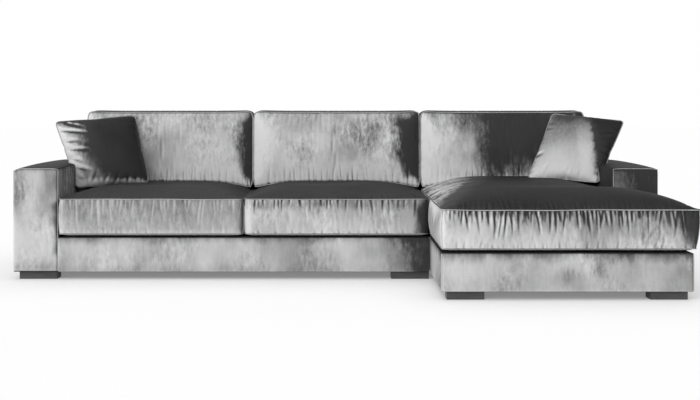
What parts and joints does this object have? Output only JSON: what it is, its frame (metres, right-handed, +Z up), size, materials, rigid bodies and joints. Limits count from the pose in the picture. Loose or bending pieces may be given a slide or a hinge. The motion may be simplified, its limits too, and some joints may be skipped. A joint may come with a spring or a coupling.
{
  "type": "corner sofa",
  "caption": "Corner sofa with a chaise on the right: wide block arms, loose boxed seat and back cushions, scatter cushions and low block feet.",
  "frame": {"origin": "on the floor, under the middle of the sofa's outline", "axes": "+X to the right seen from the front, +Y to the back, +Z up"},
  "size_m": [3.1213, 1.65, 0.8193],
  "materials": {
    "velvet": "satin",
    "foot_stain": "matte",
    "timber": "matte",
    "foam": "matte",
    "fibre": "matte",
    "dust_cloth": "matte",
    "webbing": "matte",
    "zip_plastic": "satin",
    "steel": "satin"
  },
  "bodies": {
    "two_seat_section": {"left_arm_cover": "velvet", "left_arm_padding": "foam", "left_arm_panels": "timber", "two_seat_back_cover": "velvet", "two_seat_back_frame": "timber", "two_seat_back_padding": "foam", "two_seat_base_cover": "velvet", "two_seat_connector_plates": "steel", "two_seat_corner_blocks": "timber", "two_seat_cross_rails": "timber", "two_seat_cross_webbing": "webbing", "two_seat_deck_cover": "velvet", "two_seat_deck_pad": "foam", "two_seat_dust_cover": "dust_cloth", "two_seat_feet": "foot_stain", "two_seat_foot_bolts": "steel", "two_seat_front_rail": "timber", "two_seat_long_webbing": "webbing", "two_seat_rear_rail": "timber"},
    "chaise_section": {"chaise_back_cover": "velvet", "chaise_back_frame": "timber", "chaise_back_padding": "foam", "chaise_base_cover": "velvet", "chaise_connector_hooks": "steel", "chaise_corner_blocks": "timber", "chaise_cross_rails": "timber", "chaise_cross_webbing": "webbing", "chaise_deck_cover": "velvet", "chaise_deck_pad": "foam", "chaise_dust_cover": "dust_cloth", "chaise_feet": "foot_stain", "chaise_foot_bolts": "steel", "chaise_front_rail": "timber", "chaise_long_webbing": "webbing", "chaise_rear_rail": "timber", "right_arm_cover": "velvet", "right_arm_padding": "foam", "right_arm_panels": "timber"},
    "seat_cushion_left": {"seat_cushion_left_core": "foam", "seat_cushion_left_cover": "velvet", "seat_cushion_left_zip": "zip_plastic"},
    "seat_cushion_middle": {"seat_cushion_middle_core": "foam", "seat_cushion_middle_cover": "velvet", "seat_cushion_middle_zip": "zip_plastic"},
    "chaise_cushion": {"chaise_cushion_core": "foam", "chaise_cushion_cover": "velvet", "chaise_cushion_zip": "zip_plastic"},
    "back_cushion_left": {"back_cushion_left_core": "foam", "back_cushion_left_cover": "velvet", "back_cushion_left_zip": "zip_plastic"},
    "back_cushion_middle": {"back_cushion_middle_core": "foam", "back_cushion_middle_cover": "velvet", "back_cushion_middle_zip": "zip_plastic"},
    "back_cushion_right": {"back_cushion_right_core": "foam", "back_cushion_right_cover": "velvet", "back_cushion_right_zip": "zip_plastic"},
    "scatter_cushion_left": {"scatter_cushion_left_cover": "velvet", "scatter_cushion_left_pad": "fibre"},
    "scatter_cushion_right": {"scatter_cushion_right_cover": "velvet", "scatter_cushion_right_pad": "fibre"}
  },
  "joints": [
    {"name": "chaise_section_lift", "type": "slide", "parent": "two_seat_section", "child": "chaise_section", "axis": [0, 0, 1], "range_m": [0, 0.08]},
    {"name": "seat_cushion_left_pull", "type": "slide", "parent": "two_seat_section", "child": "seat_cushion_left", "axis": [0, -1, 0], "range_m": [0, 0.95]},
    {"name": "seat_cushion_middle_pull", "type": "slide", "parent": "two_seat_section", "child": "seat_cushion_middle", "axis": [0, -1, 0], "range_m": [0, 0.95]},
    {"name": "chaise_cushion_pull", "type": "slide", "parent": "chaise_section", "child": "chaise_cushion", "axis": [0, -1, 0], "range_m": [0, 1.55]},
    {"name": "back_cushion_left_lift", "type": "slide", "parent": "two_seat_section", "child": "back_cushion_left", "axis": [0, 0.0523, 0.9986], "range_m": [0, 0.42]},
    {"name": "back_cushion_middle_lift", "type": "slide", "parent": "two_seat_section", "child": "back_cushion_middle", "axis": [0, 0.0523, 0.9986], "range_m": [0, 0.42]},
    {"name": "back_cushion_right_lift", "type": "slide", "parent": "chaise_section", "child": "back_cushion_right", "axis": [0, 0.0523, 0.9986], "range_m": [0, 0.42]},
    {"name": "scatter_cushion_left_lift", "type": "slide", "parent": "back_cushion_left", "child": "scatter_cushion_left", "axis": [0, -0.5, 0.866], "range_m": [0, 0.5]},
    {"name": "scatter_cushion_right_lift", "type": "slide", "parent": "back_cushion_right", "child": "scatter_cushion_right", "axis": [0, -0.5, 0.866], "range_m": [0, 0.5]}
  ]
}
